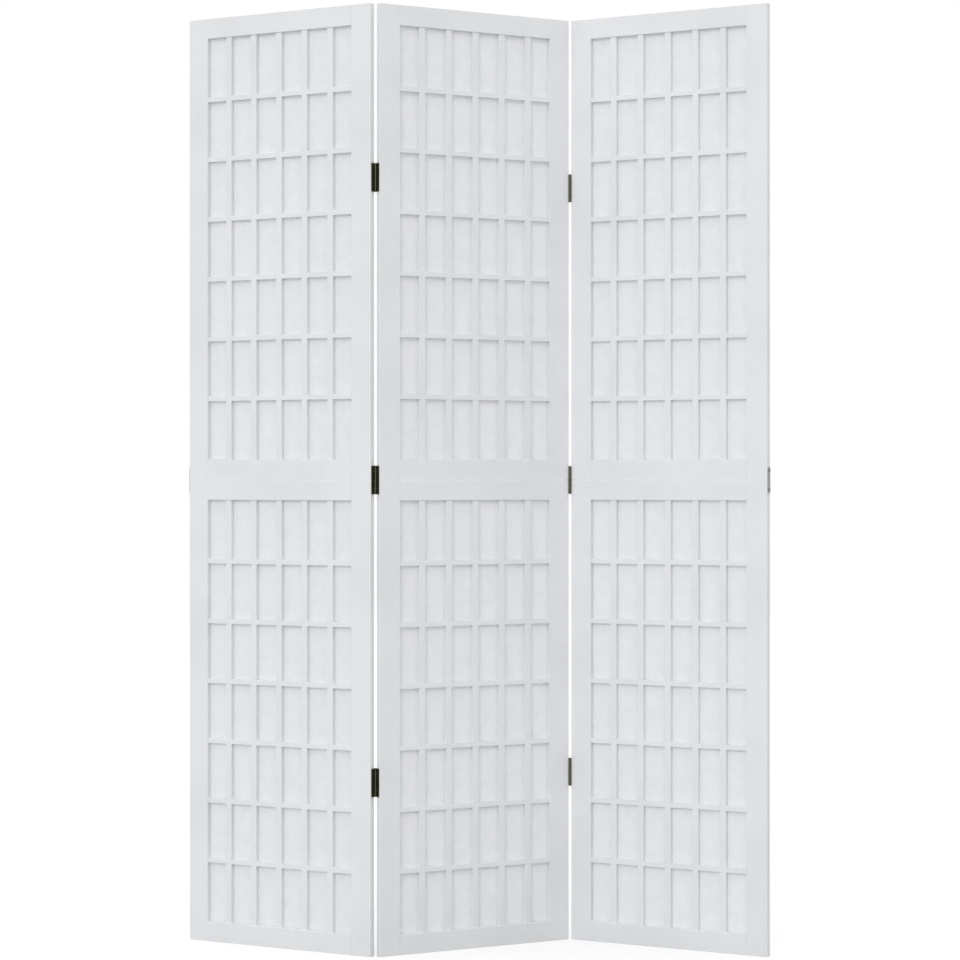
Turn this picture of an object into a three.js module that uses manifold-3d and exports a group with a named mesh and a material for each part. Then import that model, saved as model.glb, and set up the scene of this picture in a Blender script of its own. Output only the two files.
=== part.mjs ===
// A folding shoji screen of three panels, standing in a zigzag.
//
// Each panel is two half panels, one on the other: a frame of stiles and rails with mortise and
// tenon joints, a half-lapped lattice let into the frame, and a pane in a rebate behind it.
// Three butt hinges join each pair of panels, and flat plates tie the halves at the outer edges.
//
// Lengths are in millimetres. +Z is up, the floor is z = 0, and the screen's front faces -Y.
// The origin is on the floor, under the centre of the middle panel. Inside a panel's group,
// x runs along the panel, y runs from its front face to its back, and x = y = 0 is its centre.

import * as THREE from "three";
import { mergeVertices } from "three/addons/utils/BufferGeometryUtils.js";
import Module from "manifold-3d";

const wasm = await Module();
wasm.setup();

// Overall sizes.
const screenHeight = 1700;
const panelWidth = 396;
const frameThickness = 12;
const foldAngle = 30; // degrees between each panel and the line of the whole screen

// Clearances between pieces that touch on the real screen.
const fit = 0.3;
const seamGap = 0.4; // between the lower and the upper half of a panel
const seatGap = 0.25; // behind the hinge leaves and the edge plates

// Frame of one half panel.
const stileWidth = 41;
const railHeight = 36.5;
const edgeRadius = 1.2; // rounding of the stiles' outer edges
const tenonLength = 14;
const tenonThickness = 4;
const tenonWall = 1; // wood left between a mortise and the rebate for the pane
const dowelRadius = 2.5;
const dowelLength = 12;

// Lattice: upright bars and cross bars, flush with each other.
const uprightCount = 5;
const uprightWidth = 12;
const uprightEndDifference = -3; // how much wider the end columns are than the others
const crossCount = 6;
const crossHeight = 9;
const crossEndDifference = 7; // how much taller the end rows are than the others
const latticeRecess = 1.5; // behind the front of the frame
const latticeThickness = 8;
const housingDepth = 4; // how far the bars' ends go into the frame

// Pane: a thin sheet that lies in a rebate against the back of the lattice.
const paneThickness = 0.4;
const paneLap = 6; // how far the rebate reaches under the frame

// Butt hinges, with the knuckles outside the panels' faces.
const hingeHeight = 50.8;
const hingeInset = 310; // from the screen's ends to the middle of the outer hinges
const leafThickness = 1;
const leafReach = 12.1; // from the pin's axis to the leaf's free edge
const leafGap = 0.3; // between the two leaves when the panels are in line
const knuckleCount = 5;
const knuckleGap = 0.3;
const barrelRadius = 2.5;
const pinRadius = 1.15;
const pinHeadRadius = 1.9;
const pinHeadHeight = 0.5;

// Screws of the hinges and of the edge plates.
const screwSpread = 17; // from a fitting's middle to each screw
const screwRadius = 1.5;
const screwLength = 10;
const sinkRadius = 3.2; // mouth of a hinge leaf's countersunk hole
const sinkDepth = 0.8;

// Edge plates, each across the seam of an outer panel.
const plateHeight = 46;
const plateWidth = 9;
const plateThickness = 1.2;
const plateCorner = 1.5;
const plateHeadRadius = 2.9;
const plateHeadHeight = 1.5;

// Numbers of flat sides that stand for round ones.
const barrelSides = 12;
const boreSides = 8;
const holeSides = 6;
const cutMargin = 1; // how far a cut reaches past the face that it opens

// Sizes that follow.
const halfHeight = (screenHeight - seamGap) / 2;
const upperBase = halfHeight + seamGap;
const openingWidth = panelWidth - 2 * stileWidth;
const openingHeight = halfHeight - 2 * railHeight;
const openingMiddle = halfHeight / 2;
const front = -frameThickness / 2;
const back = frameThickness / 2;
const latticeFront = front + latticeRecess;
const paneSeat = latticeFront + latticeThickness;
const panelGap = 2 * (seatGap + leafThickness) + leafGap;
const tenonShoulder = paneLap + fit + tenonWall;
const axisX = (panelWidth + panelGap) / 2;
const axisY = back + barrelStandOff();
const barrelClearance = (barrelRadius + fit) / Math.cos(Math.PI / barrelSides);
const boreRadius = (pinRadius + fit) / Math.cos(Math.PI / boreSides);
const holeRadius = (screwRadius + fit) / Math.cos(Math.PI / holeSides);
const leafHoleY = -(barrelRadius + leafReach) / 2;

// How far the pin's axis lies outside the panels' faces, so that the barrel turns just clear of
// their rounded edges.
function barrelStandOff() {
  const toArcCentre = barrelRadius + fit + edgeRadius;
  const across = panelGap / 2 + edgeRadius;
  return Math.sqrt(toArcCentre ** 2 - across ** 2) - edgeRadius;
}

// ---- Solids ----

// The closed solid of a three.js geometry, ready to be joined and cut.
function solidOf(geometry) {
  geometry.deleteAttribute("normal");
  geometry.deleteAttribute("uv");
  const welded = mergeVertices(geometry, 1e-5);
  const mesh = new wasm.Mesh({
    numProp: 3,
    vertProperties: new Float32Array(welded.attributes.position.array),
    triVerts: new Uint32Array(welded.index.array),
  });
  return new wasm.Manifold(mesh);
}

// A block between two opposite corners, given in any order.
function block(x1, x2, y1, y2, z1, z2) {
  const geometry = new THREE.BoxGeometry(Math.abs(x2 - x1), Math.abs(y2 - y1), Math.abs(z2 - z1));
  geometry.translate((x1 + x2) / 2, (y1 + y2) / 2, (z1 + z2) / 2);
  return solidOf(geometry);
}

// An upright round bar, from z1 to z2.
function uprightRod(radius, x, y, z1, z2, sides) {
  const geometry = new THREE.CylinderGeometry(radius, radius, z2 - z1, sides);
  geometry.rotateX(Math.PI / 2);
  geometry.translate(x, y, (z1 + z2) / 2);
  return solidOf(geometry);
}

// A round bar along x, from x1 to x2, whose radius goes from radius1 to radius2.
function levelRod(radius1, radius2, x1, x2, y, z, sides) {
  const length = Math.abs(x2 - x1);
  const [top, bottom] = x2 > x1 ? [radius2, radius1] : [radius1, radius2];
  const geometry = new THREE.CylinderGeometry(top, bottom, length, sides);
  geometry.rotateZ(-Math.PI / 2);
  geometry.translate((x1 + x2) / 2, y, z);
  return solidOf(geometry);
}

// A round piece about the z axis, from a profile of [radius, z] that starts and ends on the axis.
function turned(profile, sides) {
  const points = profile.map(([radius, z]) => new THREE.Vector2(radius, z));
  const geometry = new THREE.LatheGeometry(points, sides);
  geometry.rotateX(Math.PI / 2);
  return geometry;
}

// ---- Finishes ----

const finishes = {
  paintedWood: { color: 0xe4e6ea, roughness: 0.55, metalness: 0 },
  pane: { color: 0xedeff2, roughness: 0.85, metalness: 0 },
  bronze: { color: 0x2f2e24, roughness: 0.45, metalness: 0.8 },
  zinc: { color: 0xa9abac, roughness: 0.35, metalness: 0.9 },
};

// A named mesh with a material of its own, from a geometry or a solid.
function piece(name, shape, finish) {
  let geometry = shape;
  if (shape instanceof wasm.Manifold) {
    const { vertProperties, triVerts } = shape.getMesh();
    geometry = new THREE.BufferGeometry();
    geometry.setAttribute("position", new THREE.BufferAttribute(vertProperties, 3));
    geometry.setIndex(new THREE.BufferAttribute(triVerts, 1));
  }
  const material = new THREE.MeshStandardMaterial({ ...finishes[finish], flatShading: true });
  const mesh = new THREE.Mesh(geometry, material);
  mesh.name = name;
  return mesh;
}

// ---- Half panels ----

// The middles of a row of bars across an opening. The cells between the bars are alike, but the
// two at the ends differ from them by endDifference.
function barMiddles(opening, count, barSize, endDifference) {
  const cell = (opening - count * barSize - 2 * endDifference) / (count + 1);
  const pitch = cell + barSize;
  return Array.from({ length: count }, (_, i) => (i - (count - 1) / 2) * pitch);
}

const uprightMiddles = barMiddles(openingWidth, uprightCount, uprightWidth, uprightEndDifference);
const crossMiddles = barMiddles(openingHeight, crossCount, crossHeight, crossEndDifference)
  .map((middle) => openingMiddle + middle);

// The space that the pane lies in, open at the back.
function rebate() {
  const halfWidth = openingWidth / 2 + paneLap;
  const reach = openingHeight / 2 + paneLap;
  return block(-halfWidth, halfWidth, paneSeat, back + cutMargin, openingMiddle - reach, openingMiddle + reach);
}

// A mortise for the rail whose lower edge is at railBase, in the stile on the side given by outward.
function mortise(outward, railBase) {
  const mouth = outward * (openingWidth / 2 - cutMargin);
  const bottom = outward * (openingWidth / 2 + tenonLength + fit);
  const halfThickness = tenonThickness / 2 + fit;
  const low = railBase + tenonShoulder - fit;
  const high = railBase + railHeight - tenonShoulder + fit;
  return block(mouth, bottom, -halfThickness, halfThickness, low, high);
}

// The housing in a stile for the end of a cross bar.
function crossHousing(outward, middle) {
  const mouth = outward * (openingWidth / 2 - cutMargin);
  const bottom = outward * (openingWidth / 2 + housingDepth + fit);
  const halfBar = crossHeight / 2 + fit;
  return block(mouth, bottom, latticeFront - fit, back, middle - halfBar, middle + halfBar);
}

// The stile on one side of a half panel: outward is -1 for the left one and 1 for the right one.
// screwHeights are those of the screws in its outer edge, and hasDowel is true in a lower half.
function stile(outward, screwHeights, hasDowel) {
  const inner = outward * openingWidth / 2;
  const outer = outward * panelWidth / 2;
  const arcX = outer - outward * edgeRadius;
  const quarter = outward * Math.PI / 2;
  const outline = new THREE.Shape();
  outline.moveTo(inner, back);
  outline.lineTo(inner, front);
  outline.absarc(arcX, front + edgeRadius, edgeRadius, -Math.PI / 2, quarter - Math.PI / 2, outward < 0);
  outline.absarc(arcX, back - edgeRadius, edgeRadius, quarter - Math.PI / 2, 2 * quarter - Math.PI / 2, outward < 0);
  outline.closePath();
  const bar = new THREE.ExtrudeGeometry(outline, { depth: halfHeight, bevelEnabled: false, curveSegments: 1 });

  const dowelX = outward * (panelWidth - stileWidth) / 2;
  let solid = solidOf(bar);
  if (hasDowel) {
    const tip = halfHeight + seamGap + dowelLength;
    solid = solid.add(uprightRod(dowelRadius, dowelX, 0, halfHeight - cutMargin, tip, holeSides));
  } else {
    const bottom = dowelLength + fit;
    solid = solid.subtract(uprightRod(dowelRadius + fit, dowelX, 0, -cutMargin, bottom, holeSides));
  }

  const cuts = [
    rebate(),
    mortise(outward, 0),
    mortise(outward, halfHeight - railHeight),
    ...crossMiddles.map((middle) => crossHousing(outward, middle)),
    ...screwHeights.map((z) => {
      const mouth = outer + outward * cutMargin;
      return levelRod(holeRadius, holeRadius, mouth, outer - outward * screwLength, 0, z, holeSides);
    }),
  ];
  return cuts.reduce((left, cut) => left.subtract(cut), solid);
}

// A rail of a half panel, with a tenon at each end. inward is 1 for the bottom rail, whose upper
// edge borders the opening, and -1 for the top rail.
function rail(inward) {
  const base = inward > 0 ? 0 : halfHeight - railHeight;
  const innerEdge = openingMiddle - inward * openingHeight / 2;
  const halfLength = openingWidth / 2 - fit;
  const tenonReach = openingWidth / 2 + tenonLength;
  const halfTenon = tenonThickness / 2;
  const tenonLow = base + tenonShoulder;
  const tenonHigh = base + railHeight - tenonShoulder;
  const bar = block(-halfLength, halfLength, front, back, base, base + railHeight);
  const tenons = block(-tenonReach, tenonReach, -halfTenon, halfTenon, tenonLow, tenonHigh);

  const mouth = innerEdge + inward * cutMargin;
  const bottom = innerEdge - inward * (housingDepth + fit);
  const halfBar = uprightWidth / 2 + fit;
  const housings = uprightMiddles.map((middle) => (
    block(middle - halfBar, middle + halfBar, latticeFront - fit, back, mouth, bottom)
  ));
  return [rebate(), ...housings].reduce((left, cut) => left.subtract(cut), bar.add(tenons));
}

// The lattice of a half panel, as one grid of bars that are half-lapped where they cross.
function lattice() {
  const halfWidth = openingWidth / 2 + housingDepth;
  const low = openingMiddle - openingHeight / 2 - housingDepth;
  const high = openingMiddle + openingHeight / 2 + housingDepth;
  const uprights = uprightMiddles.map((middle) => (
    block(middle - uprightWidth / 2, middle + uprightWidth / 2, latticeFront, paneSeat, low, high)
  ));
  const crosses = crossMiddles.map((middle) => (
    block(-halfWidth, halfWidth, latticeFront, paneSeat, middle - crossHeight / 2, middle + crossHeight / 2)
  ));
  return [...uprights, ...crosses].reduce((grid, bar) => grid.add(bar));
}

// The pane of a half panel, a little smaller than the rebate.
function pane() {
  const halfWidth = openingWidth / 2 + paneLap - fit;
  const reach = openingHeight / 2 + paneLap - fit;
  const face = paneSeat + fit;
  return block(-halfWidth, halfWidth, face, face + paneThickness, openingMiddle - reach, openingMiddle + reach);
}

// The screws' heights in the outer edge of a stile, measured from the bottom of its half panel.
function screwHeightsIn(fittingHeights, base) {
  return fittingHeights
    .flatMap((middle) => [middle - screwSpread, middle + screwSpread])
    .map((height) => height - base)
    .filter((height) => height > 0 && height < halfHeight);
}

const seamHeight = screenHeight / 2;
const hingeHeights = { bottom: hingeInset, middle: seamHeight, top: screenHeight - hingeInset };

// The six pieces of a half panel. fittings gives, for its left and its right edge, the heights of
// the hinges or of the edge plate there.
function halfPanel(name, level, fittings) {
  const isLower = level === "lower";
  const base = isLower ? 0 : upperBase;
  const label = `${name}_${level}`;
  const half = new THREE.Group();
  half.position.z = base;
  half.add(
    piece(`${label}_stile_left`, stile(-1, screwHeightsIn(fittings.left, base), isLower), "paintedWood"),
    piece(`${label}_stile_right`, stile(1, screwHeightsIn(fittings.right, base), isLower), "paintedWood"),
    piece(`${label}_rail_top`, rail(-1), "paintedWood"),
    piece(`${label}_rail_bottom`, rail(1), "paintedWood"),
    piece(`${label}_lattice`, lattice(), "paintedWood"),
    piece(`${label}_pane`, pane(), "pane"),
  );
  return half;
}

// ---- Hinges ----

// The lowest and highest point of a knuckle, counted from 0 at the bottom, with gap left between
// it and the next one.
function knuckleSpan(index, gap) {
  const pitch = hingeHeight / knuckleCount;
  const low = -hingeHeight / 2 + index * pitch;
  const bottomGap = index > 0 ? gap / 2 : 0;
  const topGap = index < knuckleCount - 1 ? gap / 2 : 0;
  return [low + bottomGap, low + pitch - topGap];
}

// A hinge leaf with its knuckles. The pin's axis is the z axis, the hinge's middle is z = 0, and
// the leaf lies towards -y. side is 1 for the leaf on the +x side of the axis and -1 for the other.
// The leaf has every second knuckle, from firstKnuckle on, and is cut clear of those between them.
function hingeLeaf(side, firstKnuckle) {
  const face = side * leafGap / 2;
  const seat = face + side * leafThickness;
  const halfHinge = hingeHeight / 2;
  let leaf = block(face, seat, 0, -leafReach, -halfHinge, halfHinge);
  for (let index = 0; index < knuckleCount; index += 1) {
    if (index % 2 === firstKnuckle) {
      leaf = leaf.add(uprightRod(barrelRadius, 0, 0, ...knuckleSpan(index, knuckleGap), barrelSides));
    }
  }
  for (let index = 0; index < knuckleCount; index += 1) {
    if (index % 2 !== firstKnuckle) {
      leaf = leaf.subtract(uprightRod(barrelClearance, 0, 0, ...knuckleSpan(index, -knuckleGap), barrelSides));
    }
  }
  leaf = leaf.subtract(uprightRod(boreRadius, 0, 0, -halfHinge - cutMargin, halfHinge + cutMargin, boreSides));
  for (const z of [-screwSpread, screwSpread]) {
    const [mouth, end] = [face - side * cutMargin, seat + side * cutMargin];
    leaf = leaf.subtract(levelRod(holeRadius, holeRadius, mouth, end, leafHoleY, z, holeSides));
    leaf = leaf.subtract(levelRod(sinkRadius, holeRadius, face, face + side * sinkDepth, leafHoleY, z, holeSides));
  }
  return leaf;
}

// A hinge pin with a low domed head at each end, just clear of the end knuckles.
function hingePin() {
  const neck = hingeHeight / 2 + fit;
  const tip = neck + pinHeadHeight;
  const lowerHead = [[0, -tip], [pinHeadRadius * 0.6, -tip], [pinHeadRadius, -neck - pinHeadHeight / 2]];
  const lower = [...lowerHead, [pinHeadRadius, -neck], [pinRadius, -neck]];
  const upper = lower.map(([radius, z]) => [radius, -z]).reverse();
  return turned([...lower, ...upper], boreSides);
}

// The three hinges of one fold. Their leaves go into the two panels' groups, each at its own place
// of the pin's axis, and the pins go with the middle panel. turn is 0 where the knuckles are at
// the panels' back and half a turn where they are at the front.
function addHinges(name, middlePanel, sidePanel, turn) {
  const facing = turn === 0 ? 1 : -1;
  for (const [place, height] of Object.entries(hingeHeights)) {
    const label = `${name}_hinge_${place}`;
    const pieces = [
      [middlePanel, -facing * axisX, piece(`${label}_middle_leaf`, hingeLeaf(1, 0), "bronze")],
      [middlePanel, -facing * axisX, piece(`${label}_pin`, hingePin(), "bronze")],
      [sidePanel, facing * axisX, piece(`${label}_side_leaf`, hingeLeaf(-1, 1), "bronze")],
    ];
    for (const [panel, x, mesh] of pieces) {
      mesh.position.set(x, facing * axisY, height);
      mesh.rotation.z = turn;
      panel.add(mesh);
    }
  }
}

// ---- Edge plates ----

// A flat plate with rounded corners and two holes, in the y-z plane, from x = 0 to its thickness.
function edgePlate() {
  const [y, z] = [plateWidth / 2, plateHeight / 2];
  const [innerY, innerZ] = [y - plateCorner, z - plateCorner];
  const outline = new THREE.Shape();
  outline.absarc(innerY, innerZ, plateCorner, 0, Math.PI / 2);
  outline.absarc(-innerY, innerZ, plateCorner, Math.PI / 2, Math.PI);
  outline.absarc(-innerY, -innerZ, plateCorner, Math.PI, Math.PI * 1.5);
  outline.absarc(innerY, -innerZ, plateCorner, Math.PI * 1.5, Math.PI * 2);
  outline.closePath();
  for (const middle of [-screwSpread, screwSpread]) {
    const hole = new THREE.Path();
    hole.absarc(0, middle, holeRadius, 0, Math.PI * 2, true);
    outline.holes.push(hole);
  }
  const settings = { depth: plateThickness, bevelEnabled: false, curveSegments: holeSides / 2 };
  const geometry = new THREE.ExtrudeGeometry(outline, settings);
  geometry.rotateX(Math.PI / 2);
  geometry.rotateZ(Math.PI / 2);
  return geometry;
}

// A pan-head screw along x, pointing towards -x, with the underside of its head at x = 0.
function plateScrew() {
  const pointStart = screwLength - 2 * screwRadius;
  const profile = [
    [0, -screwLength],
    [screwRadius, -pointStart],
    [screwRadius, 0],
    [plateHeadRadius, 0],
    [plateHeadRadius, plateHeadHeight * 0.4],
    [plateHeadRadius * 0.7, plateHeadHeight * 0.9],
    [0, plateHeadHeight],
  ];
  const geometry = turned(profile, boreSides);
  geometry.rotateY(Math.PI / 2);
  return geometry;
}

// The plate and its two screws on a panel's outer edge: side is -1 for the left edge, 1 for the right.
function addEdgePlate(name, panel, side) {
  const seat = side * (panelWidth / 2 + seatGap);
  const headSeat = seat + side * (plateThickness + fit);
  const turn = side > 0 ? 0 : Math.PI;
  const plate = piece(`${name}_edge_plate`, edgePlate(), "zinc");
  plate.position.set(seat, 0, seamHeight);
  plate.rotation.z = turn;
  panel.add(plate);
  for (const [place, offset] of [["lower", -screwSpread], ["upper", screwSpread]]) {
    const screw = piece(`${name}_edge_screw_${place}`, plateScrew(), "zinc");
    screw.position.set(headSeat, 0, seamHeight + offset);
    screw.rotation.z = turn;
    panel.add(screw);
  }
}

// ---- The screen ----

// A whole panel: its lower half and its upper half.
function wholePanel(name, fittings) {
  const panel = new THREE.Group();
  panel.add(halfPanel(name, "lower", fittings), halfPanel(name, "upper", fittings));
  return panel;
}

// Hangs a side panel on the pin's axis of its fold. facing is 1 for the left fold, whose knuckles
// are at the back, and -1 for the right fold, which is the left one turned by half a turn.
function hang(sidePanel, middlePanel, facing) {
  const fold = new THREE.Group();
  fold.position.set(-facing * axisX, facing * axisY, 0);
  fold.rotation.z = THREE.MathUtils.degToRad(-2 * foldAngle);
  sidePanel.position.set(-facing * axisX, -facing * axisY, 0);
  fold.add(sidePanel);
  middlePanel.add(fold);
}

const hinged = Object.values(hingeHeights);
const plated = [seamHeight];
const middlePanel = wholePanel("middle", { left: hinged, right: hinged });
const leftPanel = wholePanel("left", { left: plated, right: hinged });
const rightPanel = wholePanel("right", { left: hinged, right: plated });
middlePanel.rotation.z = THREE.MathUtils.degToRad(foldAngle);
hang(leftPanel, middlePanel, 1);
hang(rightPanel, middlePanel, -1);
addHinges("left", middlePanel, leftPanel, 0);
addHinges("right", middlePanel, rightPanel, Math.PI);
addEdgePlate("left", leftPanel, -1);
addEdgePlate("right", rightPanel, 1);

const screen = new THREE.Group();
screen.add(middlePanel);

export default screen;
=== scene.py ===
import math

import bmesh
import bpy
import numpy as np
from mathutils import Matrix, Vector


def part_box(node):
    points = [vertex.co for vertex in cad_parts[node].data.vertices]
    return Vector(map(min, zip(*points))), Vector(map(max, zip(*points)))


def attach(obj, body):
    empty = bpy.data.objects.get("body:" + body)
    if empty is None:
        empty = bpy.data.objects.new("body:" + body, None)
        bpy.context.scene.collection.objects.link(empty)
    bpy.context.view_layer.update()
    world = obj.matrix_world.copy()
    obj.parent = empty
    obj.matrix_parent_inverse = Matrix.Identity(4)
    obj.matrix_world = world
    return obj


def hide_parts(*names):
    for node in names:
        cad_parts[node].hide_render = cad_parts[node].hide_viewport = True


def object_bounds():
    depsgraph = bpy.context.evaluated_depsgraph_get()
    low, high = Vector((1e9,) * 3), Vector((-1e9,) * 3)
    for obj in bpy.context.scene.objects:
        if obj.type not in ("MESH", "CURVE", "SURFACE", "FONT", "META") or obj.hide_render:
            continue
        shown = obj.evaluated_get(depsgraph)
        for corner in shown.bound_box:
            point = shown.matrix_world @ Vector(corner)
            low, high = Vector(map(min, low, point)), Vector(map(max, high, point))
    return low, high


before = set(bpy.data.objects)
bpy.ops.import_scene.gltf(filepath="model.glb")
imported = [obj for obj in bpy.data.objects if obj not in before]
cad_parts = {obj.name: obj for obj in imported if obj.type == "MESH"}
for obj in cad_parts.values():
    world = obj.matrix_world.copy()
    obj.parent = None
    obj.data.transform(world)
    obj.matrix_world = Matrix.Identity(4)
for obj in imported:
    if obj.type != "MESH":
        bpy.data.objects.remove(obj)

cad_box = [[float(value) for value in corner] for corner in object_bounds()]
MM = 0.001
scene = bpy.context.scene


# ---- The view ----
# A long lens at mid-height, square to the line of the zigzag, so that the uprights stay parallel
# and the panels' tops and feet run away from the middle of the picture.
screen_height = cad_box[1][2]
camera_distance, camera_offset = 5.144, 0.010
camera_data = bpy.data.cameras.new("camera")
camera_data.sensor_width = 36.0
camera_data.lens = 106.1
camera = bpy.data.objects.new("camera", camera_data)
camera.location = (camera_offset, -camera_distance, screen_height / 2)
camera.rotation_euler = (math.radians(90), 0, 0)
scene.collection.objects.link(camera)
scene.camera = camera


# ---- The room: surroundings, light and floor ----
# White surroundings, brighter overhead than at the height of the eye, and one soft light from the
# front left, some 20 degrees up. The floor is matt and, to the light, light grey. Both are seen as
# plain white, but for the screen's faint shadow on the floor.
def linear(hex_colour):
    """An sRGB colour such as "e6e8ea", as linear red, green, blue and alpha."""
    values = np.array([int(hex_colour[start:start + 2], 16) for start in (0, 2, 4)]) / 255
    return (*np.where(values <= 0.04045, values / 12.92, ((values + 0.055) / 1.055) ** 2.4), 1.0)


def add_node(tree, kind, inputs=None, stops=(), **settings):
    """Adds a node with its settings. inputs gives, for an input's name or number, its value or
    the output that feeds it. stops gives a colour ramp's places and colours."""
    node = tree.nodes.new(kind)
    for key, value in settings.items():
        setattr(node, key, value)
    for key, value in (inputs or {}).items():
        if isinstance(value, bpy.types.NodeSocket):
            tree.links.new(value, node.inputs[key])
        else:
            node.inputs[key].default_value = value
    for element, (position, colour) in zip(node.color_ramp.elements if stops else (), stops):
        element.position = position
        element.color = linear(colour)
    return node


def seen_directly(tree):
    """An output that is 1 for what the camera, a gloss or a clear pane shows, and 0 for the light
    that falls on things."""
    path = add_node(tree, "ShaderNodeLightPath")
    camera_or_gloss = add_node(tree, "ShaderNodeMath", {
        0: path.outputs["Is Camera Ray"], 1: path.outputs["Is Glossy Ray"]}, operation="MAXIMUM")
    any_of_them = add_node(tree, "ShaderNodeMath", {
        0: camera_or_gloss.outputs[0], 1: path.outputs["Is Transmission Ray"]}, operation="MAXIMUM")
    return any_of_them.outputs[0]


def blank_material(name):
    """A material without any nodes, and its node tree."""
    material = bpy.data.materials.new(name)
    material.use_nodes = True
    material.node_tree.nodes.clear()
    return material, material.node_tree


world = bpy.data.worlds.new("white_surroundings")
world.use_nodes = True
scene.world = world
tree = world.node_tree
tree.nodes.clear()
direction = add_node(tree, "ShaderNodeTexCoord").outputs["Generated"]
upwards = add_node(tree, "ShaderNodeSeparateXYZ", {0: direction}).outputs[2]
overhead = add_node(tree, "ShaderNodeMapRange", {0: upwards, "To Min": 0.65, "To Max": 1.45})
ambient = add_node(tree, "ShaderNodeBackground", {
    "Color": linear("fefeff"), "Strength": overhead.outputs[0]})
white = add_node(tree, "ShaderNodeBackground", {"Color": linear("ffffff"), "Strength": 1.0})
surroundings = add_node(tree, "ShaderNodeMixShader", {
    0: seen_directly(tree), 1: ambient.outputs[0], 2: white.outputs[0]})
add_node(tree, "ShaderNodeOutputWorld", {0: surroundings.outputs[0]})

lamp = bpy.data.lights.new("soft_light", "SUN")
lamp.energy = 0.80
lamp.angle = math.radians(20)
lamp.color = linear("fafcff")[:3]
soft_light = bpy.data.objects.new("soft_light", lamp)
towards_light = Vector((-0.31, -0.87, 0.38))
soft_light.rotation_euler = Vector((0, 0, 1)).rotation_difference(towards_light).to_euler()
scene.collection.objects.link(soft_light)

floor_mesh = bpy.data.meshes.new("floor")
floor_reach = 12.0
floor_corners = [
    (x * floor_reach, y * floor_reach, 0) for x, y in ((-1, -1), (1, -1), (1, 1), (-1, 1))]
floor_mesh.from_pydata(floor_corners, [], [(0, 1, 2, 3)])
floor = bpy.data.objects.new("floor", floor_mesh)
scene.collection.objects.link(floor)
matt_floor, tree = blank_material("matt_floor")
matt = add_node(tree, "ShaderNodeBsdfDiffuse", {"Color": linear("a8a8a8")})
lift = add_node(tree, "ShaderNodeEmission", {"Color": linear("ffffff"), "Strength": 0.58})
lifted = add_node(tree, "ShaderNodeAddShader", {0: matt.outputs[0], 1: lift.outputs[0]})
surface = add_node(tree, "ShaderNodeMixShader", {
    0: seen_directly(tree), 1: matt.outputs[0], 2: lifted.outputs[0]})
add_node(tree, "ShaderNodeOutputMaterial", {0: surface.outputs[0]})
floor_mesh.materials.append(matt_floor)


# ---- Frames: stiles and rails ----
# Sawn softwood, 12 mm thick, joined with glued tenons, sanded flush and sprayed with white satin
# lacquer. The arrises are eased, the stiles' outer ones most, and a rebate behind takes the pane. At
# the seam the lower half's top arris is well eased and the upper half's bottom one left sharp.
fold = math.radians(30)
panel_turns = {"left": -fold, "middle": fold, "right": -fold}
levels = ("lower", "upper")
board_thickness = 12 * MM
stile_width = 41 * MM
rail_height = 36.5 * MM
opening_half = 157 * MM
rebate_lap = 6 * MM
rebate_seat = 3.5 * MM  # the y of the face that the pane lies on
outer_easing = 1.2 * MM
plain_share, rebate_share, end_share = 0.45, 0.15, 0.1  # of outer_easing, on the other edges
seam_shares = {"lower": 0.7, "upper": 0.06}
board_front, board_back = -board_thickness / 2, board_thickness / 2
smooth_below, sharp_above = math.radians(25), math.radians(35)


def middle_of(node):
    """The middle of a node's box."""
    return (np.array(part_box(node)[0]) + np.array(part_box(node)[1])) / 2


def panel_place(panel):
    """Where a panel's own frame stands, which has x along the panel, y from its front to its back
    and z up, with its origin on the floor under the panel's middle."""
    x, y, _ = middle_of(f"{panel}_lower_rail_bottom")
    return Matrix.Translation((x, y, 0)) @ Matrix.Rotation(panel_turns[panel], 4, "Z")


def skin(rings, closed=False):
    """A shell over rings of points, given as an array (rings, points, 3): each ring is joined to
    the next, and the last one to the first, or else both ends get a face."""
    ring_count, count = rings.shape[:2]
    index = np.arange(ring_count * count).reshape(ring_count, count)
    following = np.roll(index, -1, axis=0) if closed else index[1:]
    current = index[:len(following)]
    quads = np.stack([current, np.roll(current, -1, 1), np.roll(following, -1, 1), following], -1)
    faces = quads.reshape(-1, 4).tolist()
    if not closed:
        faces += [index[0].tolist(), index[-1].tolist()]
    return rings.reshape(-1, 3), faces


def new_piece(name, shells, place, *materials, closed=True):
    """One object made of shells, each a pair of points and faces, moved by place to where it
    stands. The faces of closed shells are turned outwards."""
    points, faces, start = [], [], 0
    for shell_points, shell_faces in shells:
        points.append(shell_points)
        faces += [[start + corner for corner in face] for face in shell_faces]
        start += len(shell_points)
    matrix = np.array(place)
    placed = np.concatenate(points) @ matrix[:3, :3].T + matrix[:3, 3]
    mesh = bpy.data.meshes.new(name)
    mesh.from_pydata(placed.tolist(), [], faces)
    if closed:
        build = bmesh.new()
        build.from_mesh(mesh)
        bmesh.ops.recalc_face_normals(build, faces=build.faces)
        build.to_mesh(mesh)
        build.free()
    mesh.polygons.foreach_set("use_smooth", [True] * len(mesh.polygons))
    mesh.set_sharp_from_angle(angle=smooth_below)
    for material in materials:
        mesh.materials.append(material)
    piece = bpy.data.objects.new(name, mesh)
    scene.collection.objects.link(piece)
    return piece


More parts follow.
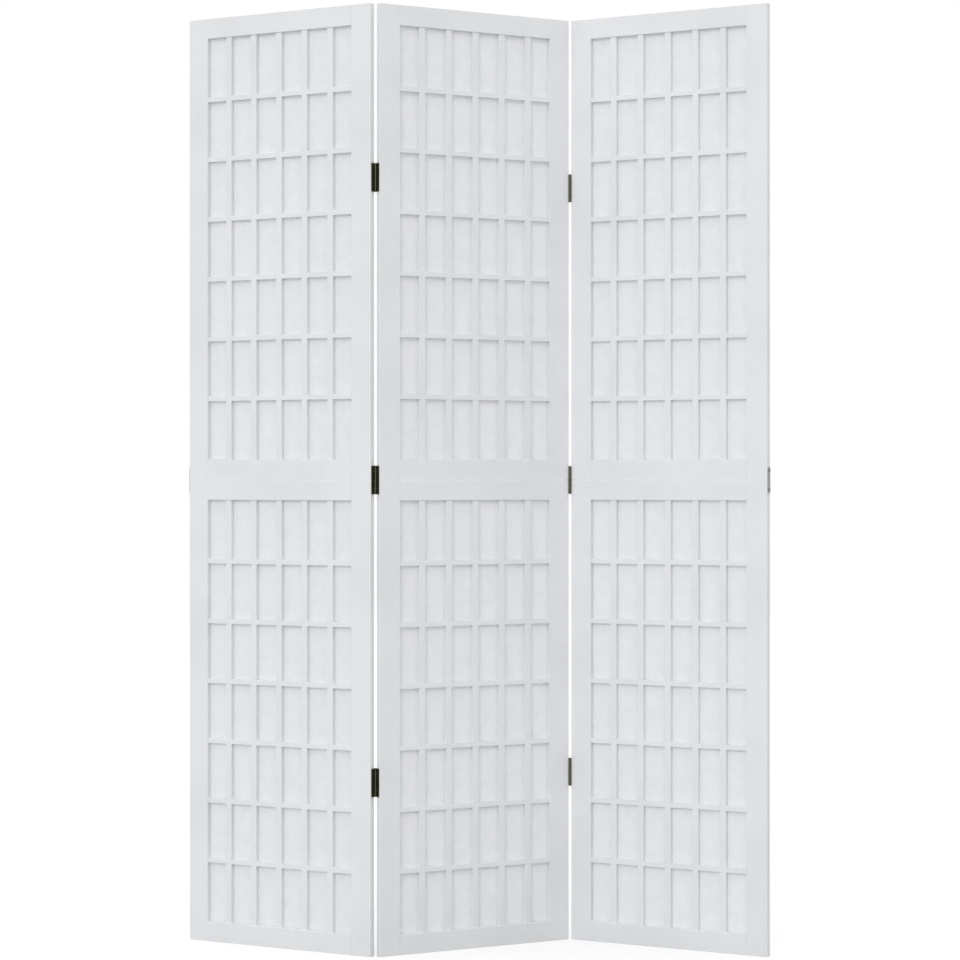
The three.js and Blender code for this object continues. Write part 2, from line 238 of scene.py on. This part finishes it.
def edge_middles_and_spans(piece, place):
    """For each edge, its middle and its size along x, y and z, both in the frame of place."""
    mesh = piece.data
    points = np.empty(len(mesh.vertices) * 3)
    mesh.vertices.foreach_get("co", points)
    back = np.array(place.inverted())
    own = points.reshape(-1, 3) @ back[:3, :3].T + back[:3, 3]
    pairs = np.empty(len(mesh.edges) * 2, int)
    mesh.edges.foreach_get("vertices", pairs)
    ends = own[pairs.reshape(-1, 2)]
    return ends.mean(1), np.abs(ends[:, 0] - ends[:, 1])


def ease(piece, width, weights=None, segments=2):
    """Rounds a piece's edges: those with a weight, by that share of width, or else all sharp
    ones."""
    bevel = piece.modifiers.new("eased_edges", "BEVEL")
    bevel.width = width
    bevel.segments = segments
    bevel.harden_normals = True
    if weights is None:
        bevel.limit_method = "ANGLE"
        bevel.angle_limit = sharp_above
    else:
        bevel.limit_method = "WEIGHT"
        share = piece.data.attributes.new("bevel_weight_edge", "FLOAT", "EDGE")
        share.data.foreach_set("value", weights.astype(np.float32))


def settle(piece, node, panel):
    """Lets a piece move with its panel and, where there is a node for it, stand for that."""
    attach(piece, f"{panel}_panel")
    if node:
        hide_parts(node)


def white_lacquer(name, turn, grain_along):
    """White satin lacquer, sprayed over filled softwood: nearly white, with a soft sheen. A trace
    of the grain, which runs along x or z of a frame turned by turn, and the fine peel of the
    spray show in the light that glances off it. Both are of real size, and their depth is drawn
    several times what it is, or they would not show."""
    material, tree = blank_material(name)
    grain_width, grain_length, peel_size, cloud_size = 0.9 * MM, 60 * MM, 1.8 * MM, 140 * MM
    along, across = 1 / grain_length, 1 / grain_width
    scale = (along, across, across) if grain_along == "x" else (across, across, along)
    spot = add_node(tree, "ShaderNodeTexCoord").outputs["Object"]
    turned = add_node(tree, "ShaderNodeMapping", {"Vector": spot, "Rotation": (0, 0, -turn)})
    stretched = add_node(tree, "ShaderNodeMapping", {"Vector": turned.outputs[0], "Scale": scale})
    grain = add_node(tree, "ShaderNodeTexNoise", {
        "Vector": stretched.outputs[0], "Scale": 1.0, "Detail": 4.0, "Roughness": 0.6})
    peel = add_node(tree, "ShaderNodeTexNoise", {
        "Vector": spot, "Scale": 1 / peel_size, "Detail": 2.0})
    clouds = add_node(tree, "ShaderNodeTexNoise", {
        "Vector": spot, "Scale": 1 / cloud_size, "Detail": 3.0})
    streaks = add_node(tree, "ShaderNodeMath", {
        0: grain.outputs[0], 1: 0.45, 2: clouds.outputs[0]}, operation="MULTIPLY_ADD")
    colour = add_node(tree, "ShaderNodeValToRGB", {0: streaks.outputs[0]}, (
        (0.5, "e0e1e2"), (0.8, "e6e7e8")))
    sheen = add_node(tree, "ShaderNodeMapRange", {0: grain.outputs[0], "To Min": 0.54, "To Max": 0.68})
    grain_relief = add_node(tree, "ShaderNodeBump", {
        "Height": grain.outputs[0], "Strength": 0.5, "Distance": 0.12 * MM})
    relief = add_node(tree, "ShaderNodeBump", {
        "Height": peel.outputs[0], "Normal": grain_relief.outputs[0], "Strength": 0.4,
        "Distance": 0.10 * MM})
    lacquer = add_node(tree, "ShaderNodeBsdfPrincipled", {
        "Base Color": colour.outputs[0], "Roughness": sheen.outputs[0], "Normal": relief.outputs[0],
        "Specular IOR Level": 0.2})
    add_node(tree, "ShaderNodeOutputMaterial", {0: lacquer.outputs[0]})
    return material


lacquer_up = white_lacquer("white_lacquer_upright_grain", 0.0, "z")
lacquer_along = {panel: white_lacquer(f"white_lacquer_level_grain_{panel}", turn, "x")
                 for panel, turn in panel_turns.items()}


def stile_shell(outer, inner, low, high, open_low, open_high):
    """A stile as a closed board: a block from low to high, with a notch in its inner back edge
    that stops a little beyond the opening, which is from open_low to open_high."""
    notch_x = inner + math.copysign(rebate_lap, outer - inner)
    notch_low, notch_high = open_low - rebate_lap, open_high + rebate_lap
    points = np.array([
        (inner, board_front, low), (inner, board_front, high),
        (inner, board_back, high), (inner, board_back, notch_high), (inner, rebate_seat, notch_high),
        (inner, rebate_seat, notch_low), (inner, board_back, notch_low), (inner, board_back, low),
        (outer, board_front, low), (outer, board_front, high), (outer, board_back, high),
        (outer, board_back, low),
        (notch_x, rebate_seat, notch_low), (notch_x, rebate_seat, notch_high),
        (notch_x, board_back, notch_high), (notch_x, board_back, notch_low),
    ])
    faces = [
        (0, 1, 2, 3, 4, 5, 6, 7), (8, 11, 10, 9), (0, 8, 9, 1), (1, 9, 10, 2), (7, 11, 8, 0),
        (7, 6, 15, 14, 3, 2, 10, 11), (5, 4, 13, 12), (12, 13, 14, 15), (3, 14, 13, 4), (5, 12, 15, 6),
    ]
    return points, [list(face) for face in faces]


for panel in panel_turns:
    place = panel_place(panel)
    for level in levels:
        low, open_low = (corner[2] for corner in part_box(f"{panel}_{level}_rail_bottom"))
        open_high, high = (corner[2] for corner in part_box(f"{panel}_{level}_rail_top"))
        seam_edge = high if level == "lower" else low
        for hand, side in (("left", -1), ("right", 1)):
            node = f"{panel}_{level}_stile_{hand}"
            outer, inner = side * (opening_half + stile_width), side * opening_half
            shell = stile_shell(outer, inner, low, high, open_low, open_high)
            piece = new_piece(f"{node}_board", [shell], place, lacquer_up)
            middles, spans = edge_middles_and_spans(piece, place)
            from_middle = np.abs(middles[:, 2] - (low + high) / 2)
            notch_reach = (open_high - open_low) / 2 + rebate_lap + MM
            in_rebate = (middles[:, 1] > 0) & (from_middle < notch_reach) & ~np.isclose(
                middles[:, 0], outer)
            long_outer = np.isclose(middles[:, 0], outer) & (spans[:, 2] > rail_height)
            weights = np.where(in_rebate, rebate_share, np.where(long_outer, 1.0, plain_share))
            weights[np.isclose(middles[:, 2], seam_edge)] = seam_shares[level]
            ease(piece, outer_easing, weights, 3)
            settle(piece, node, panel)
        for end, outer, inner in (("bottom", low, open_low), ("top", high, open_high)):
            node = f"{panel}_{level}_rail_{end}"
            notch = inner + math.copysign(rebate_lap, outer - inner)
            outline = np.array([
                (board_front, outer), (board_front, inner), (rebate_seat, inner), (rebate_seat, notch),
                (board_back, notch), (board_back, outer)])
            ends = np.array([-opening_half, opening_half])
            rings = np.concatenate([
                np.broadcast_to(ends[:, None, None], (2, len(outline), 1)),
                np.broadcast_to(outline, (2, *outline.shape))], -1)
            piece = new_piece(f"{node}_bar", [skin(rings)], place, lacquer_along[panel])
            middles, spans = edge_middles_and_spans(piece, place)
            lengthwise = spans[:, 0] > rail_height
            in_rebate = (middles[:, 1] > 0) & (np.abs(middles[:, 2] - outer) > MM)
            weights = np.where(lengthwise & ~in_rebate, plain_share, end_share)
            weights[np.isclose(middles[:, 2], seam_edge)] = seam_shares[level]
            ease(piece, outer_easing, weights, 3)
            settle(piece, node, panel)


# ---- Lattices ----
# Thin bars of the same lacquered wood, half-lapped flush where they cross, glued, and let into the
# frame. The cross bars pass in front, and the arrises are only just broken.
lattice_front, lattice_back = -4.5 * MM, rebate_seat
upright_count, upright_width, upright_end_difference = 5, 12 * MM, -3 * MM
cross_count, cross_height, cross_end_difference = 6, 9 * MM, 7 * MM
bar_tuck = 0.3 * MM  # how far the bars' ends go into the frame here
lattice_easing, lap_share = 0.45 * MM, 0.12  # the share of it on the short edges at the laps


def bar_middles(low, high, count, size, end_difference):
    """The middles of a row of bars between low and high, with like cells between them and end
    cells that differ from those by end_difference."""
    cell = (high - low - count * size - 2 * end_difference) / (count + 1)
    return (low + high) / 2 + (np.arange(count) - (count - 1) / 2) * (cell + size)


def half_lapped_bar(low, high, crossings, crossing_size, plain_face, notched_face):
    """The outline of a bar, as points (length, depth): straight along its plain face, and on the
    other cut to half its depth at each crossing."""
    edges = np.stack([crossings - crossing_size / 2, crossings + crossing_size / 2], 1)
    lengths = np.concatenate([[low], edges.ravel(), [high]])
    plain = np.stack([lengths, np.full(len(lengths), plain_face)], 1)
    half = (plain_face + notched_face) / 2
    steps = np.repeat(edges[::-1, ::-1].ravel(), 2)
    depths = np.tile([notched_face, half, half, notched_face], len(crossings))
    high_corner, low_corner = np.array([[high, notched_face]]), np.array([[low, notched_face]])
    return np.concatenate([plain, high_corner, np.stack([steps, depths], 1), low_corner])


def lapped_bars(middles, size, outline, axes):
    """A row of bars of one outline (length, depth): each is that outline at its two sides, half
    its size off its middle, joined by a skin. axes names what lies along x, y and z."""
    shells = []
    for middle in middles:
        sides = np.array([middle - size / 2, middle + size / 2])
        width = np.broadcast_to(sides[:, None], (2, len(outline)))
        length, depth = np.broadcast_to(outline.T[:, None], (2, 2, len(outline)))
        along = {"width": width, "depth": depth, "length": length}
        shells.append(skin(np.stack([along[axis] for axis in axes], -1)))
    return shells


for panel in panel_turns:
    place = panel_place(panel)
    for level in levels:
        node = f"{panel}_{level}_lattice"
        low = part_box(f"{panel}_{level}_rail_bottom")[1][2]
        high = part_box(f"{panel}_{level}_rail_top")[0][2]
        uprights = bar_middles(
            -opening_half, opening_half, upright_count, upright_width, upright_end_difference)
        crosses = bar_middles(low, high, cross_count, cross_height, cross_end_difference)
        upright = half_lapped_bar(
            low - bar_tuck, high + bar_tuck, crosses, cross_height, lattice_back, lattice_front)
        cross = half_lapped_bar(
            -opening_half - bar_tuck, opening_half + bar_tuck, uprights, upright_width,
            lattice_front, lattice_back)
        shells = lapped_bars(uprights, upright_width, upright, ("width", "depth", "length"))
        shells += lapped_bars(crosses, cross_height, cross, ("length", "depth", "width"))
        piece = new_piece(f"{node}_bars", shells, place, lacquer_up, lacquer_along[panel])
        upright_faces = upright_count * len(shells[0][1])
        is_cross = np.arange(len(piece.data.polygons)) >= upright_faces
        piece.data.polygons.foreach_set("material_index", is_cross.astype(int))
        middles, spans = edge_middles_and_spans(piece, place)
        lengthwise = (spans[:, 0] > upright_width + MM) | (spans[:, 2] > cross_height + MM)
        ease(piece, lattice_easing, np.where(lengthwise, 1.0, lap_share))
        settle(piece, node, panel)


# ---- Panes ----
# White non-woven fabric of short bonded fibres, cut to the rebates and glued, a little taut, to
# the backs of the frame and the lattice. It is matt and lets some light through. Its fibres are
# far too fine to show, so they are drawn as wandering threads some millimetres apart.
pane_thickness = 0.4 * MM
fit = 0.3 * MM
pane_half = opening_half + rebate_lap - fit
wave_height, wave_shift = 0.15 * MM, 1.7  # the shift tells one pane's waves from the next one's
bonded_fibre, tree = blank_material("white_bonded_fibre")
cloud_size, thread_loop = 16 * MM, 5 * MM
spot = add_node(tree, "ShaderNodeTexCoord").outputs["Object"]
clouds = add_node(tree, "ShaderNodeTexNoise", {
    "Vector": spot, "Scale": 1 / cloud_size, "Detail": 4.0})
loops = add_node(tree, "ShaderNodeTexNoise", {
    "Vector": spot, "Scale": 1 / thread_loop, "Detail": 3.0, "Distortion": 1.2})
centred = add_node(tree, "ShaderNodeMath", {0: loops.outputs[0], 1: 0.5}, operation="SUBTRACT")
from_line = add_node(tree, "ShaderNodeMath", {0: centred.outputs[0]}, operation="ABSOLUTE")
threads = add_node(tree, "ShaderNodeMapRange", {
    0: from_line.outputs[0], "From Max": 0.03, "To Min": 1.0, "To Max": 0.0})
density = add_node(tree, "ShaderNodeMath", {
    0: threads.outputs[0], 1: 0.25, 2: clouds.outputs[0]}, operation="MULTIPLY_ADD")
colour = add_node(tree, "ShaderNodeValToRGB", {0: density.outputs[0]}, (
    (0.3, "f1f2f2"), (0.8, "f6f6f7")))
relief = add_node(tree, "ShaderNodeBump", {
    "Height": density.outputs[0], "Strength": 0.4, "Distance": 0.06 * MM})
face = add_node(tree, "ShaderNodeBsdfPrincipled", {
    "Base Color": colour.outputs[0], "Roughness": 0.85, "Normal": relief.outputs[0],
    "Specular IOR Level": 0.2})
through = add_node(tree, "ShaderNodeBsdfTranslucent", {"Color": colour.outputs[0]})
fabric = add_node(tree, "ShaderNodeMixShader", {0: 0.5, 1: face.outputs[0], 2: through.outputs[0]})
add_node(tree, "ShaderNodeOutputMaterial", {0: fabric.outputs[0]})


def pane_surface(low, high, phase):
    """A sheet on a grid: flat, but for low waves, products of two sines that die out towards its
    glued edges."""
    u, v = np.meshgrid(np.linspace(0, 1, 41), np.linspace(0, 1, 91))
    held = np.sin(np.pi * u) * np.sin(np.pi * v)
    waves = np.sin(9 * u + 4 * v + phase) * np.sin(13 * v - 3 * u + 2 * phase)
    y = rebate_seat + fit + wave_height * held * (1 + waves)
    points = np.stack([(2 * u - 1) * pane_half, y, low + (high - low) * v], -1)
    index = np.arange(u.size).reshape(u.shape)
    quads = np.stack([index[:-1, :-1], index[:-1, 1:], index[1:, 1:], index[1:, :-1]], -1)
    return points.reshape(-1, 3), quads.reshape(-1, 4).tolist()


half_panels = [(panel, level) for panel in panel_turns for level in levels]
for number, (panel, level) in enumerate(half_panels):
    node = f"{panel}_{level}_pane"
    low, high = (corner[2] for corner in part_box(node))
    sheet = pane_surface(low, high, wave_shift * number)
    piece = new_piece(f"{node}_sheet", [sheet], panel_place(panel), bonded_fibre, closed=False)
    wall = piece.modifiers.new("sheet_thickness", "SOLIDIFY")
    wall.thickness = pane_thickness
    wall.offset = -1.0  # behind the face that lies on the lattice
    settle(piece, node, panel)


# ---- Hinges ----
# Two-inch steel butt hinges, three to a fold: each leaf is stamped, countersunk and rolled round
# the pin in turn with the other. They are plated a dark bronze and screwed to the stiles' edges.
hinge_height, leaf_thickness, leaf_reach, leaf_face = 50.8 * MM, 1 * MM, 12.1 * MM, 0.15 * MM
knuckle_count, knuckle_gap = 5, 0.3 * MM
barrel_radius, curl_radius, leaf_root = 2.5 * MM, 1.45 * MM, 3.0 * MM
pin_radius, pin_head_radius, pin_head_height = 1.3 * MM, 1.9 * MM, 0.5 * MM
screw_spread, leaf_hole_y = 17 * MM, -7.3 * MM
hole_radius, sink_radius, sink_depth = 1.8 * MM, 3.2 * MM, 0.8 * MM
screw_radius, screw_length, screw_head_radius = 1.5 * MM, 10 * MM, 2.95 * MM
leaf_corner, leaf_easing, pin_easing = 0.4 * MM, 0.12 * MM, 0.05 * MM


def brushed_metal(name, brush_width, brush_length, cloud_size, cloud_detail, colours, sheen_range, coat):
    """Plated and brushed metal: noise stretched along z gives the brush's lines, in the sheen and
    as a relief, and an even noise gives the plating's clouds between two colours. coat holds
    the sockets of a clear lacquer, if there is one."""
    material, tree = blank_material(name)
    spot = add_node(tree, "ShaderNodeTexCoord").outputs["Object"]
    stretched = add_node(tree, "ShaderNodeMapping", {
        "Vector": spot, "Scale": (1 / brush_width, 1 / brush_width, 1 / brush_length)})
    lines = add_node(tree, "ShaderNodeTexNoise", {
        "Vector": stretched.outputs[0], "Scale": 1.0, "Detail": 3.0})
    clouds = add_node(tree, "ShaderNodeTexNoise", {
        "Vector": spot, "Scale": 1 / cloud_size, "Detail": cloud_detail})
    stops = tuple(zip((0.35, 0.7), colours))
    colour = add_node(tree, "ShaderNodeValToRGB", {0: clouds.outputs[0]}, stops)
    sheen = add_node(tree, "ShaderNodeMapRange", {
        0: lines.outputs[0], "To Min": sheen_range[0], "To Max": sheen_range[1]})
    relief = add_node(tree, "ShaderNodeBump", {
        "Height": lines.outputs[0], "Strength": 0.3, "Distance": 0.02 * MM})
    metal = add_node(tree, "ShaderNodeBsdfPrincipled", {
        "Base Color": colour.outputs[0], "Metallic": 1.0, "Roughness": sheen.outputs[0],
        "Normal": relief.outputs[0], **coat})
    add_node(tree, "ShaderNodeOutputMaterial", {0: metal.outputs[0]})
    return material


# Dark bronze plating on rolled steel, brushed and lacquered: a dull sheen, and soft brown and green
# clouds. The brush's lines are some hundredths of a millimetre wide and are drawn coarser to show.
bronze = brushed_metal(
    "dark_bronze_plate", 0.25 * MM, 12 * MM, 6 * MM, 4.0, ("4f523e", "5d604b"), (0.36, 0.52),
    {"Coat Weight": 0.12, "Coat Roughness": 0.3})


def plate_border(y_low, y_high, z_high, corner, steps=8):
    """The outline (y, z) of a plate's upper half, from z = 0 up, with its upper corners rounded."""
    arc = np.linspace(0, np.pi / 2, 5)
    y_top = np.linspace(y_high - corner, y_low + corner, steps + 1)[1:-1]
    z_side = np.linspace(0, z_high - corner, 2 * steps, endpoint=False)
    return np.concatenate([
        np.column_stack([np.linspace(y_low, y_high, steps, endpoint=False), np.zeros(steps)]),
        np.column_stack([np.full(2 * steps, y_high), z_side]),
        np.column_stack([y_high - corner * (1 - np.cos(arc)), z_high - corner * (1 - np.sin(arc))]),
        np.column_stack([y_top, np.full(len(y_top), z_high)]),
        np.column_stack([y_low + corner * (1 - np.sin(arc)), z_high - corner * (1 - np.cos(arc))]),
        np.column_stack([np.full(2 * steps - 1, y_low), z_side[:0:-1]]),
    ])


def holed_plate(border, hole_y, hole_z, levels_and_radii):
    """A plate with a hole above the middle and one below, as a closed shell. The upper half is a
    closed band of rings round its hole, at the x and with the radius of levels_and_radii, where
    a radius of None stands for the border. The lower half mirrors it, and they share z = 0."""
    hole_middle = (hole_y, hole_z)
    bearing = np.arctan2(border[:, 1] - hole_z, border[:, 0] - hole_y)
    circle = np.stack([np.cos(bearing), np.sin(bearing)], 1)
    rings = np.array([
        np.column_stack([
            np.full(len(border), x), border if radius is None else radius * circle + hole_middle])
        for x, radius in levels_and_radii])
    points, faces = skin(rings, closed=True)
    faces = np.array(faces)
    faces = faces[~(np.abs(points[faces][:, :, 2]) < 1e-7).all(1)]
    both = np.concatenate([points, points * (1, 1, -1)])
    both_faces = np.concatenate([faces, faces[:, ::-1] + len(points)])
    _, first, shared = np.unique(np.round(both, 8), axis=0, return_index=True, return_inverse=True)
    return both[first], shared.ravel()[both_faces].tolist()


def knuckle(low, high):
    """A rolled knuckle: a strip of the leaf's thickness that leaves the leaf, bends out to the
    barrel's radius and follows a circle round the pin until it meets the leaf again."""
    skim, neck_half, curl_end, curl_steps = 0.01 * MM, 0.3 * MM, math.radians(268), 40
    lines = []
    for x, radius in (
            (leaf_face + leaf_thickness - skim, barrel_radius), (leaf_face + skim, curl_radius)):
        bearing = np.linspace(-math.acos(x / radius), curl_end, curl_steps)
        curl = radius * np.stack([np.cos(bearing), np.sin(bearing)], 1)
        neck = np.array([(x, -leaf_root - neck_half), (x, -leaf_root + neck_half)])
        lines.append(np.concatenate([neck, curl]))
    corners = ((0, low), (0, high), (1, high), (1, low))
    return skin(np.stack([
        np.column_stack([lines[line], np.full(curl_steps + 2, z)]) for line, z in corners], 1))


def turned(profile, count=32):
    """Rings round the z axis from a profile of radii and heights."""
    radius, height = np.array(profile).T[:, :, None]
    bearing = np.arange(count) * 2 * np.pi / count
    return np.stack([radius * np.cos(bearing), radius * np.sin(bearing),
                     np.broadcast_to(height, (len(profile), count))], -1)


def screw_rings(head_profile, top):
    """A wood screw along z with its head up. The shank's radius rises on a ridge that climbs as it
    goes round, and shrinks towards the point. The head's profile is turned, and in its top is a
    cross, whose outline at each bearing is the nearer of an arm's end and an arm's side."""
    count, thread_rings, pitch, ridge = 48, 56, 1.2 * MM, 0.35 * MM
    thread_top, point_length, tip_share, ridge_share = -1.6 * MM, 3 * MM, 0.06, 0.22
    cross_millimetres = (1.75, 0.42, 0.0), (1.55, 0.34, 0.35), (0.8, 0.26, 1.3)
    bearing = np.arange(count) * 2 * np.pi / count
    height = np.linspace(-screw_length, thread_top, thread_rings)[:, None]
    taper = np.clip((height + screw_length) / point_length, tip_share, 1)
    phase = (height / pitch - bearing / (2 * np.pi)) % 1
    crest = np.clip(1 - np.abs(phase - 0.5) / ridge_share, 0, 1)
    radius = taper * (screw_radius - ridge + ridge * crest)
    shank = np.stack([
        radius * np.cos(bearing), radius * np.sin(bearing), np.broadcast_to(height, radius.shape)], -1)
    rings = [shank, turned(head_profile, count)]
    across = np.sort(np.abs([np.cos(bearing), np.sin(bearing)]), axis=0)
    for reach, half_width, depth in cross_millimetres:
        distance = np.minimum(reach * MM / across[1], half_width * MM / np.maximum(across[0], 1e-9))
        x, y = distance * np.cos(bearing), distance * np.sin(bearing)
        rings.append(np.column_stack([x, y, np.full(count, top - depth * MM)])[None])
    return np.concatenate(rings)


leaf_border = plate_border(-leaf_reach, -leaf_root, hinge_height / 2, leaf_corner)
leaf_rings = [
    (leaf_face, None), (leaf_face, sink_radius), (leaf_face + sink_depth, hole_radius),
    (leaf_face + leaf_thickness, hole_radius), (leaf_face + leaf_thickness, None)]
sunk_head = [
    (screw_radius, -1.2 * MM), (screw_radius, -0.95 * MM), (screw_head_radius, -0.12 * MM),
    (screw_head_radius, -0.05 * MM), (screw_head_radius - 0.08 * MM, 0), (2.2 * MM, 0)]
pin_neck = hinge_height / 2 + 0.1 * MM
pin_top = pin_neck + pin_head_height
pin_half = [
    (0.3 * pin_head_radius, pin_top), (0.75 * pin_head_radius, pin_top - 0.08 * MM),
    (pin_head_radius, pin_neck + 0.25 * MM), (pin_head_radius, pin_neck), (pin_radius, pin_neck)]
pin_profile = [(radius, -height) for radius, height in pin_half] + pin_half[::-1]
knuckle_pitch = hinge_height / knuckle_count

for side_panel, barrel_turn in (("left", 0.0), ("right", math.pi)):
    for position in ("bottom", "middle", "top"):
        hinge = f"{side_panel}_hinge_{position}"
        axis_place = Matrix.Translation(middle_of(f"{hinge}_pin"))
        pin = new_piece(f"{hinge}_pin_turned", [skin(turned(pin_profile))], axis_place, bronze)
        ease(pin, pin_easing)
        settle(pin, f"{hinge}_pin", "middle")
        roles = ("middle_leaf", "middle", 1, 0), ("side_leaf", side_panel, -1, 1)
        for role, panel, side, first in roles:
            node = f"{hinge}_{role}"
            place = axis_place @ Matrix.Rotation(panel_turns[panel] + barrel_turn, 4, "Z")
            shells = [holed_plate(leaf_border, leaf_hole_y, screw_spread, leaf_rings)]
            for index in range(first, knuckle_count, 2):
                low = -hinge_height / 2 + index * knuckle_pitch
                bottom_gap = knuckle_gap / 2 if index > 0 else 0
                top_gap = knuckle_gap / 2 if index < knuckle_count - 1 else 0
                shells.append(knuckle(low + bottom_gap, low + knuckle_pitch - top_gap))
            shells = [(points * (side, 1, 1), faces) for points, faces in shells]
            leaf = new_piece(f"{node}_rolled", shells, place, bronze)
            ease(leaf, leaf_easing)
            settle(leaf, node, panel)
            for end, direction in (("lower", -1), ("upper", 1)):
                head = (side * leaf_face, leaf_hole_y, direction * screw_spread)
                upright_to_level = Matrix.Rotation(math.radians(-90 * side), 4, "Y")
                driven_turn = Matrix.Rotation(0.6 + 1.3 * direction, 4, "Z")  # as it came to rest
                screw_place = place @ Matrix.Translation(head) @ upright_to_level @ driven_turn
                screw_shell = skin(screw_rings(sunk_head, 0.0))
                screw = new_piece(f"{node}_screw_{end}", [screw_shell], screw_place, bronze)
                settle(screw, None, panel)


# ---- Edge plates ----
# Flat plates of zinc-plated steel across the seam on the screen's outer edges, each held by two
# pan-head screws, which keep the upper half panels on the lower ones.
plate_seat = 0.25 * MM
plate_half_height, plate_half_width, plate_thickness = 23 * MM, 4.5 * MM, 1.2 * MM
plate_corner, plate_easing = 1.5 * MM, 0.2 * MM
pan_radius, pan_height, pan_rim = 2.9 * MM, 1.5 * MM, 0.5 * MM
dome_end = math.radians(49)  # where the pan head's dome meets the flat round its cross

# Zinc plating on rolled steel, brushed and passivated: light grey with a soft sheen. Its lines, too,
# are drawn coarser than they are.
zinc = brushed_metal(
    "zinc_plate", 0.2 * MM, 9 * MM, 4 * MM, 3.0, ("919393", "9fa1a1"), (0.28, 0.44), {})

edge_border = plate_border(-plate_half_width, plate_half_width, plate_half_height, plate_corner)
edge_rings = [(0.0, None), (0.0, hole_radius), (plate_thickness, hole_radius), (plate_thickness, None)]
dome_bearing = np.linspace(0, dome_end, 7)
dome_radii = pan_radius * np.cos(dome_bearing)
dome_heights = pan_rim + (pan_height - pan_rim) * np.sin(dome_bearing) / math.sin(dome_end)
pan_head = [
    (screw_radius, -1.2 * MM), (screw_radius, 0), (pan_radius - 0.15 * MM, 0), (pan_radius, 0.15 * MM),
    *zip(dome_radii, dome_heights)]

for panel, side in (("left", -1), ("right", 1)):
    node = f"{panel}_edge_plate"
    outwards = Matrix.Rotation(0 if side > 0 else math.pi, 4, "Z")
    edge_middle = (side * (opening_half + stile_width + plate_seat), 0, screen_height / 2)
    edge_place = panel_place(panel) @ Matrix.Translation(edge_middle) @ outwards
    plate_shell = holed_plate(edge_border, 0.0, screw_spread, edge_rings)
    plate = new_piece(f"{node}_stamped", [plate_shell], edge_place, zinc)
    ease(plate, plate_easing)
    settle(plate, node, panel)
    for end, direction in (("lower", -1), ("upper", 1)):
        head = (plate_thickness + fit, 0, direction * screw_spread)
        upright_to_level = Matrix.Rotation(math.radians(90), 4, "Y")
        driven_turn = Matrix.Rotation(0.4 + 0.9 * direction, 4, "Z")  # as it came to rest
        screw_place = edge_place @ Matrix.Translation(head) @ upright_to_level @ driven_turn
        node = f"{panel}_edge_screw_{end}"
        screw_shell = skin(screw_rings(pan_head, pan_height))
        screw = new_piece(f"{node}_driven", [screw_shell], screw_place, zinc)
        settle(screw, node, panel)


# ---- Tone of the picture ----
scene.view_settings.view_transform = "Standard"
